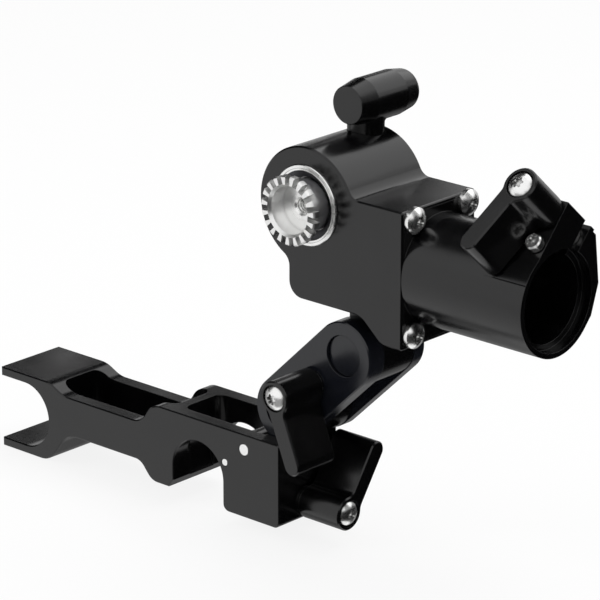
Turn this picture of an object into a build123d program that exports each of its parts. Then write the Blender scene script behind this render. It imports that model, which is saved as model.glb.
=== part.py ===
"""Follow focus unit for a pair of 15 mm rods.

Millimetres, +Z up. The origin is on the axis of the clamped rod, at the middle of the bridge's depth.
+Y runs along the rods, away from the lens gear, and +X points out along the hand-wheel tube.
"""
import os
from math import atan, atan2, cos, degrees, pi, radians, sin, sqrt, tan

from build123d import *

# ---- fits ------------------------------------------------------------------------------------
SEAT = 0.01            # radial clearance of a pressed or screwed seat
RUN = 0.05             # radial clearance of a running shaft
FACE_GAP = 0.1         # gap between two flat faces that turn on each other
FREE_GAP = 0.3         # gap round a piece that swings in a slot

# ---- rods and bridge -------------------------------------------------------------------------
ROD_RADIUS = 7.5
ROD_SPACING = 60.0
BRIDGE_DEPTH = 18.4
FORK_REACH = 2.4       # prong tips past the axis of the free rod
FORK_LENGTH = 15.2     # tip to the bottom of the slot
FORK_CLEARANCE = 0.1
UPPER_PRONG = 2.05
LOWER_PRONG = 2.0
UPPER_SLOPE = (0.7, 5.2)   # start and end of the slope from prong to neck, past the slot
LOWER_SLOPE = (0.2, 6.2)
UPPER_FORK_BEND = 7.0
LOWER_FORK_BEND = 6.0
NECK_TOP = 7.5
NECK_HEIGHT = 9.1
NECK_FLOOR = 2.0
BLOCK_ROOF = 5.2       # arch to the top of the clamp block
BLOCK_WALL = 16.75     # arch to the lever face
BLOCK_SLOPE = (4.7, 1.5)   # start and end of the slope up to the block, before the leg
BLOCK_BEND = 5.0
BLOCK_BOTTOM = -6.6
BLOCK_CORNER = 1.6
BLOCK_EDGE = 0.6
LEG_BOTTOM = -5.6
LEG_WALL = 5.3         # thickness of the leg on the fork side of the arch
LEG_SLOPE = (5.1, 1.6)
LEG_BEND = 3.5
LEG_CHAMFER = 2.0
LEG_CHAMFER_WIDTH = 1.6
POCKET_WALL = 3.2      # front and back walls of both pockets
POCKET_CORNER = 2.4
NECK_POCKET_END = 1.3  # wall between the neck pocket and the fork slot
WEB = 2.4              # wall between the two pockets
SEAT_RELIEF_DEPTH = 1.1
SEAT_RELIEF_WIDTH = 7.6
BRIDGE_EDGE = 0.25

# ---- rod jaw ---------------------------------------------------------------------------------
JAW_PIVOT_OUT = 6.4    # rod surface to the jaw's pivot
JAW_PIVOT_Z = 9.2
JAW_PIN_RADIUS = 1.4
JAW_EYE_RADIUS = 3.3
JAW_OPENING = 0.2      # gap between the open jaw and the rod
JAW_LIFT = 0.4         # jaw's foot above the bottom of the block
JAW_ROUND = 0.8
STOP_PIN_OUT = 0.7
STOP_PIN_Z = 4.8
STOP_PIN_RADIUS = 0.9
STOP_PIN_ROUND = 0.3
PIN_EDGE = 0.15

# ---- clamp levers ----------------------------------------------------------------------------
LEVER_BARREL = 3.8
LEVER_HEIGHT = 11.4
LEVER_LENGTH = 17.1    # axis to the end of the paddle
LEVER_TIP = 2.1
LEVER_OFFSET = 0.77    # how far the paddle's middle lies to one side of the axis
LEVER_FILLET = 2.4
LEVER_EDGE = 0.3
HEAD_RECESS = 0.7
HEAD_RECESS_GAP = 0.15
STUD_RADIUS = 2.5
STUD_SOCKET = 7.0      # how far a stud enters its lever
STUD_POINT = 0.4
WASHER_RADIUS = 3.3
WASHER_THICKNESS = 0.6
WASHER_EDGE = 0.1
WASHER_LET_IN = 0.2    # how far the washer lies in its lever
SCREW_RADIUS = 1.5
SCREW_HEAD_RADIUS = 2.85
SCREW_DOME = 1.3
SCREW_RIM = 0.35
SCREW_LENGTH = 5.5
STAR_RADIUS = 0.95
STAR_LOBE = 0.32
STAR_DEPTH = 0.9

ROD_LEVER_Y = 0.1
ROD_LEVER_Z = -2.4
ROD_LEVER_ANGLE = 56.0     # paddle direction in Y and Z, from +Y
LINK_LEVER_ANGLE = -67.8   # paddle direction in X and Z, from +X
TUBE_LEVER_ANGLE = -106.9  # paddle direction in the clamp's own plane, from +X

# ---- link ------------------------------------------------------------------------------------
PIVOT_INSET = 2.75     # lever face of the block to the lower pivot
PLATE_SINK = 1.25      # how far the plate's lower end reaches below the top of the block
LINK_LENGTH = 24.26
LINK_ANGLE = 43.8
LINK_RADIUS = 7.55
LUG_STEP = 0.15        # how much smaller the lugs are than the plates
FRONT_PLATE_Y = -5.2
FRONT_PLATE = 4.7
REAR_PLATE = 3.2
LUG_WIDTH = 9.7
LUG_NEAR = 2.4         # upper pivot to the near side of the housing's lug
LINK_PIN_RADIUS = 3.0
PIN_RECESS_RADIUS = 4.6
PIN_RECESS = 0.7
PIN_HEAD = 0.8
PLATE_EDGE = 0.3

# ---- housing ---------------------------------------------------------------------------------
HOUSING_FRONT = -6.2
HOUSING_DEPTH = 23.4
HOUSING_WIDTH = 31.7
PIVOT_TO_LEFT = 14.71  # upper pivot to the left side
PIVOT_TO_BOTTOM = 2.96 # plate to the underside
HOUSING_CORNER = 3.5
SQUARE_EDGE = 0.5
TONGUE_WIDTH = 5.7
TONGUE_SLOPE = 5.8
TONGUE_BEND = 5.0
TONGUE_FOOT_BEND = 3.5
DRUM_INSET = 5.04      # left side to the drum's axis
DRUM_DROP = 4.45       # top to the drum's axis
DRUM_RADIUS = 13.2
DRUM_FILLET = 3.0
OUTPUT_RISE = 0.55     # output axis above the drum's axis
FRONT_WALL = 5.0
SIDE_WALL = 2.5
DRUM_WALL = 2.8
RIGHT_WALL = 9.2
CAVITY_CORNER = 2.0
COVER_THICKNESS = 2.2
COVER_RIM = 1.2
COVER_GAP = 0.1
COVER_RIGHT_GAP = 2.0  # between the cover's right edge and the tube's flange
COVER_SCREW_INSET = 2.9
COVER_SCREW_RADIUS = 0.8
COVER_SCREW_HEAD = 1.5
COVER_SCREW_LENGTH = 5.0
COVER_SCREW_ANGLE = 150.0
COVER_BOSS_RADIUS = 2.0
HOUSING_EDGE = 0.35

# ---- hand-wheel tube and its clamp -----------------------------------------------------------
TUBE_Y = 5.7
TUBE_RISE = 10.3       # underside of the housing to the tube's axis
TUBE_BORE = 9.65
TUBE_WALL = 2.45
TUBE_LENGTH = 31.6
TUBE_FLOOR = 2.0
MOUTH_STEP = 1.3       # how much wider the mouth is than the bore
MOUTH_DEPTH = 2.5
FLANGE_THICKNESS = 3.0
FLANGE_RIM = 0.8
FLANGE_CORNER = 2.5
FLANGE_SCREW_Y = 8.5
FLANGE_SCREW_GAP = 0.15    # screw head to the tube
FLANGE_SCREW_LENGTH = 4.6
FLANGE_SCREW_RIM = 1.0
FLANGE_TOP = 2.22      # upper screws to the top of the housing
FLANGE_BOTTOM = 2.92
CLAMP_TILT = 42.0
CLAMP_WIDTH = 10.7
EAR_SINK = 0.3         # ear face inside the tube's outer surface
EAR_HEIGHT = 4.8       # ears above the tube
EAR_FLAT_END = -3.0
EAR_CREST = 1.2        # flat top of the rear ear behind the middle of the clamp
EAR_SHOULDER = 1.1     # rear ear above the tube, an eighth of a turn down
EAR_FOOT = 3.0         # where the rear ear runs into the tube
EAR_STEP = 0.5         # how much lower the rear ear is
SLOT_NEAR = -4.1
SLOT_FAR = -1.5
SLOT_EXTRA = 4.0       # how far the slot runs on behind the clamp block
CLAMP_SCREW_WALL = 1.45    # bore to the clamp stud
CLAMP_STUD_END = 3.6
TUBE_LEVER_INSET = 3.7 # mouth of the tube to the lever's axis
STOP_SCREW_DROP = 7.3  # lever axis down to the stop screw
STOP_SCREW_INSET = 2.2
STOP_SCREW_HEAD = 1.85
STOP_SCREW_RISE = 2.1
STOP_SCREW_EDGE = 0.3
STOP_SCREW_SHANK = 1.25

# ---- gear train ------------------------------------------------------------------------------
SPUR_MODULE = 0.8
SPUR_TEETH = 17
SPUR_WIDTH = 2.3
BEVEL_MODULE = 0.75
BEVEL_TEETH = 16
BEVEL_FACE = 2.1
BEVEL_ADDENDUM = 0.45
BEVEL_DEDENDUM = 0.75
TOOTH_SHARE = 0.40     # tooth thickness as a share of the pitch
TIP_SHARE = 0.55       # tooth thickness at the tip as a share of that at the pitch
INPUT_RADIUS = 2.0
LAYSHAFT_RADIUS = 2.0
OUTPUT_RADIUS = 4.0
OUTPUT_REAR_RADIUS = 3.0
BUSH_WALL = 1.6
BUSH_LENGTH = 2.0
BEARING_RADIUS = 8.0
BEARING_WIDTH = 3.4
BEARING_LIP = 1.0      # step that the outer races rest on
INPUT_BEARING_RADIUS = 6.5
INPUT_BEARING_WIDTH = 5.0
BEARING_GROOVE = 0.3
RACE_SHARE = 0.3       # each race as a share of a bearing's width across
BRAKE_DRUM_RADIUS = 8.0
BRAKE_DRUM_WIDTH = 1.4
COUPLING_RADIUS = 6.0
COUPLING_LENGTH = 7.0
COUPLING_SLOT = 2.5
COUPLING_SLOT_DEPTH = 3.0
COUPLING_GAP = 0.6
COUPLING_EDGE = 0.4

# ---- output coupling -------------------------------------------------------------------------
RING_RADIUS = 8.8
RING_BORE = 7.6
RING_THICKNESS = 1.8
RING_PROUD = 0.5
RING_EDGE = 0.15
RING_GROOVE = (7.98, 8.1)
RING_GROOVE_DEPTH = 0.25
RING_LIP = 0.08        # how much lower the inner lip lies
SHIELD_RIM = 0.3       # shield's rim below the front of the ring
SHIELD_WALL = 0.4
SHIELD_GAP = 0.25
CROWN_RADIUS = 7.6
CROWN_TOOTH_ROOT = 5.7
CROWN_FRONT = 5.8      # crown front past the housing's front face
CROWN_THICKNESS = 1.9
CROWN_TEETH = 19
CROWN_NOTCH = 1.25
CROWN_CUP_RADIUS = 5.2
CROWN_CUP_BEVEL = 0.5
CROWN_CUP_BEVEL_DEPTH = 0.8
CROWN_CUP_DEPTH = 4.5
CROWN_BEVEL = 0.3
SPIGOT_RADIUS = 3.0
THREAD_RADIUS = 1.65
THREAD_MOUTH = 0.4     # how much wider the thread's mouth is
THREAD_DEPTH = 9.0

# ---- T-handle --------------------------------------------------------------------------------
HANDLE_RISE = 6.29     # top of the drum to the handle's axis
HANDLE_OVERHANG = 5.9  # front end of the handle to the stem's axis
HANDLE_LENGTH = 19.1
HANDLE_RADIUS = 5.05
HANDLE_NOSE_RADIUS = 4.17
HANDLE_NOSE_LENGTH = 4.6
HANDLE_BODY_LENGTH = 9.3
HANDLE_TAIL_RADIUS = 4.2
HANDLE_TAIL_ROUND = 1.8
HANDLE_EDGE = 0.12
STEM_INSET = 2.1       # back of the spur gear to the stem's axis
STEM_RADIUS = 4.0
STEM_FILLET = 1.2
STEM_POCKET_GAP = 0.15
STEM_POCKET_EDGE = 0.1 # pocket floor below the lowest point of its rim
HANDLE_SHAFT_RADIUS = 1.4
HANDLE_SHAFT_SOCKET = 3.0
HANDLE_BUSH_RADIUS = 2.2
BRAKE_GAP = 0.25
SHOE_THICKNESS = 0.8

# ---- worked out from the sizes above ---------------------------------------------------------
BRIDGE_FRONT = -BRIDGE_DEPTH / 2
BRIDGE_BACK = BRIDGE_DEPTH / 2
BLOCK_TOP = ROD_RADIUS + BLOCK_ROOF
BLOCK_LENGTH = ROD_RADIUS + BLOCK_WALL
FORK_TIP_X = -(ROD_SPACING + FORK_REACH)
FORK_RADIUS = ROD_RADIUS + FORK_CLEARANCE
FORK_END_X = FORK_TIP_X + FORK_LENGTH
LEG_X = -(ROD_RADIUS + LEG_WALL)
POCKET_HALF = BRIDGE_DEPTH / 2 - POCKET_WALL
JAW_PIVOT_X = ROD_RADIUS + JAW_PIVOT_OUT
STOP_PIN_X = ROD_RADIUS + STOP_PIN_OUT
JAW_POCKET_END = JAW_PIVOT_X + JAW_EYE_RADIUS + FREE_GAP
JAW_THICKNESS = 2 * (POCKET_HALF - FREE_GAP)
LEVER_SEAT = FACE_GAP + WASHER_THICKNESS + SEAT

LUG_RADIUS = LINK_RADIUS - LUG_STEP
LUG_FRONT = FRONT_PLATE_Y + FRONT_PLATE + FACE_GAP
LUG_BACK = LUG_FRONT + LUG_WIDTH
REAR_PLATE_Y = LUG_BACK + FACE_GAP
LINK_BACK = REAR_PLATE_Y + REAR_PLATE
LOWER_PIVOT_X = BLOCK_LENGTH - PIVOT_INSET
LOWER_PIVOT_Z = BLOCK_TOP + LINK_RADIUS - PLATE_SINK
UPPER_PIVOT_X = LOWER_PIVOT_X + LINK_LENGTH * cos(radians(LINK_ANGLE))
UPPER_PIVOT_Z = LOWER_PIVOT_Z + LINK_LENGTH * sin(radians(LINK_ANGLE))
LINK_MID_X = (LOWER_PIVOT_X + UPPER_PIVOT_X) / 2
LINK_MID_Z = (LOWER_PIVOT_Z + UPPER_PIVOT_Z) / 2

TUBE_RADIUS = TUBE_BORE + TUBE_WALL
MOUTH_RADIUS = TUBE_BORE + MOUTH_STEP
FLANGE_SCREW_Z = sqrt((TUBE_RADIUS + SCREW_HEAD_RADIUS + FLANGE_SCREW_GAP) ** 2 - FLANGE_SCREW_Y ** 2)
EAR_FACE = EAR_SINK - TUBE_RADIUS
EAR_TOP = TUBE_RADIUS + EAR_HEIGHT
CLAMP_SCREW_HEIGHT = TUBE_BORE + STUD_RADIUS + CLAMP_SCREW_WALL
STOP_SCREW_HEIGHT = CLAMP_SCREW_HEIGHT - STOP_SCREW_DROP

HOUSING_LEFT = UPPER_PIVOT_X - PIVOT_TO_LEFT
HOUSING_RIGHT = HOUSING_LEFT + HOUSING_WIDTH
HOUSING_BOTTOM = UPPER_PIVOT_Z + LINK_RADIUS + PIVOT_TO_BOTTOM
TUBE_Z = HOUSING_BOTTOM + TUBE_RISE
HOUSING_TOP = TUBE_Z + FLANGE_SCREW_Z + FLANGE_TOP
TONGUE_BOTTOM = TUBE_Z - FLANGE_SCREW_Z - FLANGE_BOTTOM
HOUSING_BACK = HOUSING_FRONT + HOUSING_DEPTH
DRUM_X = HOUSING_LEFT + DRUM_INSET
DRUM_Z = HOUSING_TOP - DRUM_DROP
DRUM_TOP = DRUM_Z + DRUM_RADIUS
OUTPUT_X = DRUM_X
OUTPUT_Z = DRUM_Z + OUTPUT_RISE
CAVITY_FRONT = HOUSING_FRONT + FRONT_WALL
COVER_FRONT = HOUSING_BACK - COVER_THICKNESS
CAVITY_RIGHT = HOUSING_RIGHT - RIGHT_WALL
SPUR_DISTANCE = SPUR_MODULE * SPUR_TEETH
LAYSHAFT_X = OUTPUT_X + sqrt(SPUR_DISTANCE ** 2 - (OUTPUT_Z - TUBE_Z) ** 2)
SPUR_BACK = COVER_FRONT - 2 * FACE_GAP
SPUR_FRONT = SPUR_BACK - SPUR_WIDTH
BEVEL_RADIUS = BEVEL_MODULE * BEVEL_TEETH / 2
BRAKE_DRUM_FRONT = SPUR_FRONT - FACE_GAP - BRAKE_DRUM_WIDTH
RING_FRONT = HOUSING_FRONT - RING_PROUD
RING_BACK = RING_FRONT + RING_THICKNESS
BEARING_FRONT = RING_BACK + FACE_GAP
BEARING_BACK = BEARING_FRONT + BEARING_WIDTH
CROWN_FACE = HOUSING_FRONT - CROWN_FRONT
CROWN_BACK = BEARING_FRONT - FACE_GAP
TUBE_MOUTH = HOUSING_RIGHT + TUBE_LENGTH
FLANGE_LEFT = HOUSING_RIGHT - FLANGE_THICKNESS
COVER_RIGHT = FLANGE_LEFT - COVER_RIGHT_GAP
TUBE_LEVER_X = TUBE_MOUTH - TUBE_LEVER_INSET
INPUT_BEARING_RIGHT = FLANGE_LEFT - FACE_GAP
INPUT_BEARING_LEFT = INPUT_BEARING_RIGHT - INPUT_BEARING_WIDTH
COUPLING_LEFT = HOUSING_RIGHT + TUBE_FLOOR + COUPLING_GAP
TUBE_SHOULDER = COUPLING_LEFT + COUPLING_LENGTH + COUPLING_GAP
STEM_Y = SPUR_BACK - STEM_INSET
STEM_POCKET = STEM_RADIUS + STEM_POCKET_GAP
STEM_FLOOR = DRUM_Z + sqrt(DRUM_RADIUS ** 2 - STEM_POCKET ** 2) - STEM_POCKET_EDGE
STEM_FOOT = STEM_FLOOR + FACE_GAP
HANDLE_Z = DRUM_TOP + HANDLE_RISE
HANDLE_FRONT = STEM_Y - HANDLE_OVERHANG
BRAKE_TOP = OUTPUT_Z + BRAKE_DRUM_RADIUS


# ---- drawing helpers -------------------------------------------------------------------------
def outline(*corners):
    """A closed face from corners given as (x, y) or (x, y, radius)."""
    points = [corner[:2] for corner in corners]
    radii = [corner[2] if len(corner) > 2 else 0 for corner in corners]
    return make_face(FilletPolyline(*points, radius=radii, close=True))


def along_y(face, front, back):
    """Extrude a face drawn in X and Z from one Y to another."""
    plane = Plane(origin=(0, back, 0), x_dir=(1, 0, 0), z_dir=(0, -1, 0))
    return extrude(plane * face, amount=back - front)


def along_x(face, left, right):
    """Extrude a face drawn in Y and Z from one X to another."""
    plane = Plane(origin=(left, 0, 0), x_dir=(0, 1, 0), z_dir=(1, 0, 0))
    return extrude(plane * face, amount=right - left)


def bar_y(radius, x, z, front, back):
    """A round bar along Y."""
    return along_y(Pos(x, z) * Circle(radius), front, back)


def bar_x(radius, y, z, left, right):
    """A round bar along X."""
    return along_x(Pos(y, z) * Circle(radius), left, right)


def block(low, high):
    """A box between two corners."""
    size = [b - a for a, b in zip(low, high)]
    middle = [(a + b) / 2 for a, b in zip(low, high)]
    return Pos(*middle) * Box(*size)


def turned(points, plane):
    """A solid of revolution from (radius, height) corners, standing on the plane along its normal."""
    return plane * revolve(Plane.XZ * outline(*points), Axis.Z)


def ring(outer, inner, height, plane, edge=0.0):
    """A washer, bush or ring with broken outer edges, standing on the plane."""
    points = [
        (inner, 0), (outer - edge, 0), (outer, edge), (outer, height - edge),
        (outer - edge, height), (inner, height),
    ]
    if edge == 0:
        points = [(inner, 0), (outer, 0), (outer, height), (inner, height)]
    return turned(points, plane)


def nested(frame, plane):
    """A plane given in another plane's frame."""
    return Plane(frame.location * plane.location)


def y_plane(x, z, y):
    """A plane across Y that faces +Y."""
    return Plane(origin=(x, y, z), x_dir=(0, 0, 1), z_dir=(0, 1, 0))


def x_plane(y, z, x):
    """A plane across X that faces +X."""
    return Plane(origin=(x, y, z), x_dir=(0, 1, 0), z_dir=(1, 0, 0))


# ---- bridge ----------------------------------------------------------------------------------
def bridge_outline():
    """The bridge seen from the front: fork, neck, arch and clamp block."""
    neck_bottom = NECK_TOP - NECK_HEIGHT
    prong_top = FORK_RADIUS + UPPER_PRONG
    prong_bottom = -(FORK_RADIUS + LOWER_PRONG)
    body = outline(
        (FORK_TIP_X, prong_top),
        (FORK_END_X + UPPER_SLOPE[0], prong_top, UPPER_FORK_BEND),
        (FORK_END_X + UPPER_SLOPE[1], NECK_TOP, UPPER_FORK_BEND),
        (LEG_X - BLOCK_SLOPE[0], NECK_TOP, BLOCK_BEND),
        (LEG_X - BLOCK_SLOPE[1], BLOCK_TOP, BLOCK_BEND),
        (BLOCK_LENGTH, BLOCK_TOP, BLOCK_EDGE),
        (BLOCK_LENGTH, BLOCK_BOTTOM, BLOCK_CORNER),
        (ROD_RADIUS, BLOCK_BOTTOM, BLOCK_CORNER),
        (ROD_RADIUS, 0),
        (-ROD_RADIUS, 0),
        (-ROD_RADIUS, LEG_BOTTOM + LEG_CHAMFER),
        (-ROD_RADIUS - LEG_CHAMFER_WIDTH, LEG_BOTTOM),
        (LEG_X - LEG_SLOPE[1], LEG_BOTTOM, LEG_BEND),
        (LEG_X - LEG_SLOPE[0], neck_bottom, LEG_BEND),
        (FORK_END_X + LOWER_SLOPE[1], neck_bottom, LOWER_FORK_BEND),
        (FORK_END_X + LOWER_SLOPE[0], prong_bottom, LOWER_FORK_BEND),
        (FORK_TIP_X, prong_bottom),
    )
    fork_middle = FORK_END_X - FORK_RADIUS
    fork = Pos(fork_middle, 0) * Circle(FORK_RADIUS)
    fork_mouth = Pos((fork_middle + FORK_TIP_X) / 2 - 1, 0) * Rectangle(
        fork_middle - FORK_TIP_X + 2, 2 * FORK_RADIUS
    )
    return body - Circle(ROD_RADIUS) - fork - fork_mouth


def pocket(left, right, floor):
    """A milled pocket, open at the top, between the bridge's front and back walls."""
    face = Pos((left + right) / 2, 0) * RectangleRounded(right - left, 2 * POCKET_HALF, POCKET_CORNER)
    return Pos(0, 0, floor) * extrude(face, amount=BLOCK_TOP - floor + 1)


def make_bridge():
    """The bridge: fork for the free rod, neck, clamp block with its arch, and the link's lug."""
    body = along_y(bridge_outline(), BRIDGE_FRONT, BRIDGE_BACK)
    body = chamfer(body.faces().sort_by(Axis.Y)[0].edges(), BRIDGE_EDGE)
    neck_floor = NECK_TOP - NECK_HEIGHT + NECK_FLOOR
    body -= pocket(FORK_END_X + NECK_POCKET_END, -ROD_RADIUS - WEB, neck_floor)
    body -= pocket(-ROD_RADIUS, JAW_POCKET_END, 0)
    body -= block((0, -POCKET_HALF, BLOCK_BOTTOM - 1), (JAW_POCKET_END, POCKET_HALF, NECK_TOP))
    body -= block((JAW_PIVOT_X, -POCKET_HALF, 0), (JAW_POCKET_END, POCKET_HALF, BLOCK_TOP + 1))
    half_relief = SEAT_RELIEF_WIDTH / 2
    body -= bar_y(ROD_RADIUS + SEAT_RELIEF_DEPTH, 0, 0, -half_relief, half_relief)
    lug_left = JAW_POCKET_END + FACE_GAP
    lug = Pos(LOWER_PIVOT_X, LOWER_PIVOT_Z) * Circle(LUG_RADIUS)
    lug += outline(
        (lug_left, BLOCK_TOP - 2), (BLOCK_LENGTH, BLOCK_TOP - 2),
        (BLOCK_LENGTH, LOWER_PIVOT_Z), (lug_left, LOWER_PIVOT_Z),
    )
    body += along_y(lug, LUG_FRONT, BRIDGE_BACK)
    swing = LINK_RADIUS + FREE_GAP
    plate_slot = Pos(LOWER_PIVOT_X, LOWER_PIVOT_Z) * Circle(swing)
    plate_slot += outline(
        (LOWER_PIVOT_X, LOWER_PIVOT_Z - swing), (BLOCK_LENGTH + 2, LOWER_PIVOT_Z - swing),
        (BLOCK_LENGTH + 2, LOWER_PIVOT_Z), (LOWER_PIVOT_X, LOWER_PIVOT_Z),
    )
    body -= along_y(plate_slot, FRONT_PLATE_Y - FREE_GAP, LUG_FRONT)
    body -= bar_y(LINK_PIN_RADIUS + RUN, LOWER_PIVOT_X, LOWER_PIVOT_Z, LUG_FRONT - 1, BRIDGE_BACK + 1)
    body -= bar_y(JAW_PIN_RADIUS + SEAT, JAW_PIVOT_X, JAW_PIVOT_Z, BRIDGE_FRONT - 1, BRIDGE_BACK + 1)
    body -= bar_y(STOP_PIN_RADIUS + SEAT, STOP_PIN_X, STOP_PIN_Z, BRIDGE_FRONT - 1, BRIDGE_BACK + 1)
    body -= bar_x(STUD_RADIUS + RUN, ROD_LEVER_Y, ROD_LEVER_Z, JAW_POCKET_END - 1, BLOCK_LENGTH + 1)
    return body


def make_jaw():
    """The rod jaw: an eye on its pin and a leg whose end presses the rod."""
    right = JAW_POCKET_END - FREE_GAP
    left = ROD_RADIUS + JAW_OPENING / 2
    foot = BLOCK_BOTTOM + JAW_LIFT
    shoulder = STOP_PIN_Z - STOP_PIN_RADIUS - FREE_GAP
    leg = outline(
        (right, JAW_PIVOT_Z), (right, foot, JAW_ROUND), (left, foot, JAW_ROUND),
        (left, shoulder, STOP_PIN_ROUND), (STOP_PIN_X + STOP_PIN_RADIUS + FREE_GAP, shoulder, STOP_PIN_ROUND),
        (STOP_PIN_X + STOP_PIN_RADIUS + 2 * FREE_GAP, JAW_PIVOT_Z),
    )
    face = leg + Pos(JAW_PIVOT_X, JAW_PIVOT_Z) * Circle(JAW_EYE_RADIUS)
    face -= Circle(ROD_RADIUS + JAW_OPENING)
    face -= Pos(JAW_PIVOT_X, JAW_PIVOT_Z) * Circle(JAW_PIN_RADIUS + RUN)
    return along_y(face, -JAW_THICKNESS / 2, JAW_THICKNESS / 2)


def make_bridge_pin(radius, x, z):
    """A steel pin pressed through the clamp block, flush at both ends."""
    plane = y_plane(x, z, BRIDGE_FRONT)
    return ring(radius, 0, BRIDGE_DEPTH, plane, edge=PIN_EDGE)


# ---- screws and levers -----------------------------------------------------------------------
def star_recess(depth):
    """The six-lobed driver recess of a screw head, cut down from the origin."""
    face = Circle(STAR_RADIUS)
    for turn in range(6):
        face += Rot(0, 0, turn * 60) * Pos(STAR_RADIUS, 0) * Circle(STAR_LOBE)
    return extrude(face, amount=-depth)


def button_screw(plane, head=SCREW_HEAD_RADIUS, rim=SCREW_RIM, dome=SCREW_DOME, shank=SCREW_RADIUS,
                 length=SCREW_LENGTH):
    """A button-head screw whose head stands on the plane and whose shank goes the other way."""
    rise = rim + dome
    sphere = (head ** 2 + dome ** 2) / (2 * dome)
    body = Pos(0, 0, rise / 2) * Cylinder(head, rise)
    body &= Pos(0, 0, rise - sphere) * Sphere(sphere)
    body -= Pos(0, 0, rise) * star_recess(STAR_DEPTH)
    body += Pos(0, 0, -length / 2) * Cylinder(shank, length)
    return plane * body


def make_lever(plane):
    """A clamp lever: a barrel along the plane's normal, and a paddle along its x direction."""
    reach = LEVER_LENGTH - LEVER_TIP
    near = -LEVER_OFFSET - LEVER_TIP
    far = -LEVER_OFFSET + LEVER_TIP
    paddle = outline((0, near), (reach, near), (reach, far), (0, far))
    paddle += Pos(reach, -LEVER_OFFSET) * Circle(LEVER_TIP)
    face = paddle + Circle(LEVER_BARREL)
    notches = [(sqrt(LEVER_BARREL ** 2 - side ** 2), side, 0) for side in (near, far)]
    face = fillet([face.vertices().sort_by_distance(notch)[0] for notch in notches], LEVER_FILLET)
    body = Pos(0, 0, -WASHER_LET_IN) * extrude(face, amount=LEVER_HEIGHT + WASHER_LET_IN)
    body = chamfer(body.faces().sort_by(Axis.Z)[-1].edges(), LEVER_EDGE)
    body = chamfer(body.faces().sort_by(Axis.Z)[0].edges(), LEVER_EDGE)
    recess = LEVER_HEIGHT - HEAD_RECESS
    body -= Pos(0, 0, recess + LEVER_HEIGHT / 2) * Cylinder(SCREW_HEAD_RADIUS + HEAD_RECESS_GAP, LEVER_HEIGHT)
    body -= Pos(0, 0, -LEVER_HEIGHT / 2) * Cylinder(WASHER_RADIUS + RUN, LEVER_HEIGHT)
    body -= Pos(0, 0, STUD_SOCKET / 2 - 1) * Cylinder(STUD_RADIUS + SEAT, STUD_SOCKET + 2)
    body -= Cylinder(SCREW_RADIUS + SEAT, 4 * LEVER_HEIGHT)
    return plane * body


def make_stud(plane, reach):
    """A threaded clamp stud from inside its lever to a depth below the plane."""
    body = Pos(0, 0, (STUD_SOCKET - reach) / 2) * Cylinder(STUD_RADIUS, STUD_SOCKET + reach)
    body = chamfer(body.edges().group_by(Axis.Z)[0], STUD_POINT)
    hole = SCREW_LENGTH + 1
    body -= Pos(0, 0, STUD_SOCKET - hole / 2) * Cylinder(SCREW_RADIUS + SEAT, hole)
    return plane * body


def lever_set(name, plane, reach):
    """A lever with its stud, its washer on the clamped face, and the screw that holds it on."""
    head_plane = plane.offset(LEVER_HEIGHT - HEAD_RECESS + SEAT)
    washer_plane = plane.offset(-SEAT - WASHER_THICKNESS)
    washer_bore = STUD_RADIUS + SEAT
    return {
        name + "_lever": make_lever(plane),
        name + "_clamp_stud": make_stud(plane, reach),
        name + "_lever_screw": button_screw(head_plane),
        name + "_lever_washer": ring(WASHER_RADIUS, washer_bore, WASHER_THICKNESS, washer_plane, WASHER_EDGE),
    }


def rod_lever_plane():
    """The inner end of the rod lever's barrel."""
    angle = radians(ROD_LEVER_ANGLE)
    inner = BLOCK_LENGTH + LEVER_SEAT
    return Plane(origin=(inner, ROD_LEVER_Y, ROD_LEVER_Z), x_dir=(0, cos(angle), sin(angle)), z_dir=(1, 0, 0))


def link_lever_plane():
    """The inner end of the link lever's barrel."""
    angle = radians(LINK_LEVER_ANGLE)
    inner = FRONT_PLATE_Y - LEVER_SEAT
    return Plane(origin=(LINK_MID_X, inner, LINK_MID_Z), x_dir=(cos(angle), 0, sin(angle)), z_dir=(0, -1, 0))


def clamp_frame():
    """The tube clamp's own frame: its Y runs across the slot and its Z up the ears."""
    tilt = radians(CLAMP_TILT)
    return Plane(origin=(0, TUBE_Y, TUBE_Z), x_dir=(1, 0, 0), z_dir=(0, sin(tilt), cos(tilt)))


def tube_lever_plane():
    """The inner end of the tube lever's barrel."""
    angle = radians(TUBE_LEVER_ANGLE)
    inner = EAR_FACE - LEVER_SEAT
    local = Plane(
        origin=(TUBE_LEVER_X, inner, CLAMP_SCREW_HEIGHT), x_dir=(cos(angle), 0, sin(angle)), z_dir=(0, -1, 0)
    )
    return nested(clamp_frame(), local)


# ---- link ------------------------------------------------------------------------------------
def make_link_plate(front, thickness, recess_front, stud_clearance):
    """One of the two link plates, with a round recess over each pivot pin on its outer face."""
    middle = Pos(LINK_MID_X, LINK_MID_Z) * Rot(0, 0, LINK_ANGLE)
    back = front + thickness
    body = along_y(middle * SlotCenterToCenter(LINK_LENGTH, 2 * LINK_RADIUS), front, back)
    outer_face = body.faces().sort_by(Axis.Y)[0 if recess_front else -1]
    body = chamfer(outer_face.edges(), PLATE_EDGE)
    edge = front if recess_front else back
    recess = PIN_RECESS + (PIN_HEAD if recess_front else 0)
    for x, z in ((LOWER_PIVOT_X, LOWER_PIVOT_Z), (UPPER_PIVOT_X, UPPER_PIVOT_Z)):
        body -= bar_y(LINK_PIN_RADIUS + SEAT, x, z, front - 1, back + 1)
        body -= bar_y(PIN_RECESS_RADIUS, x, z, edge - recess, edge + recess)
    body -= bar_y(STUD_RADIUS + stud_clearance, LINK_MID_X, LINK_MID_Z, front - 1, back + 1)
    return body


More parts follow.
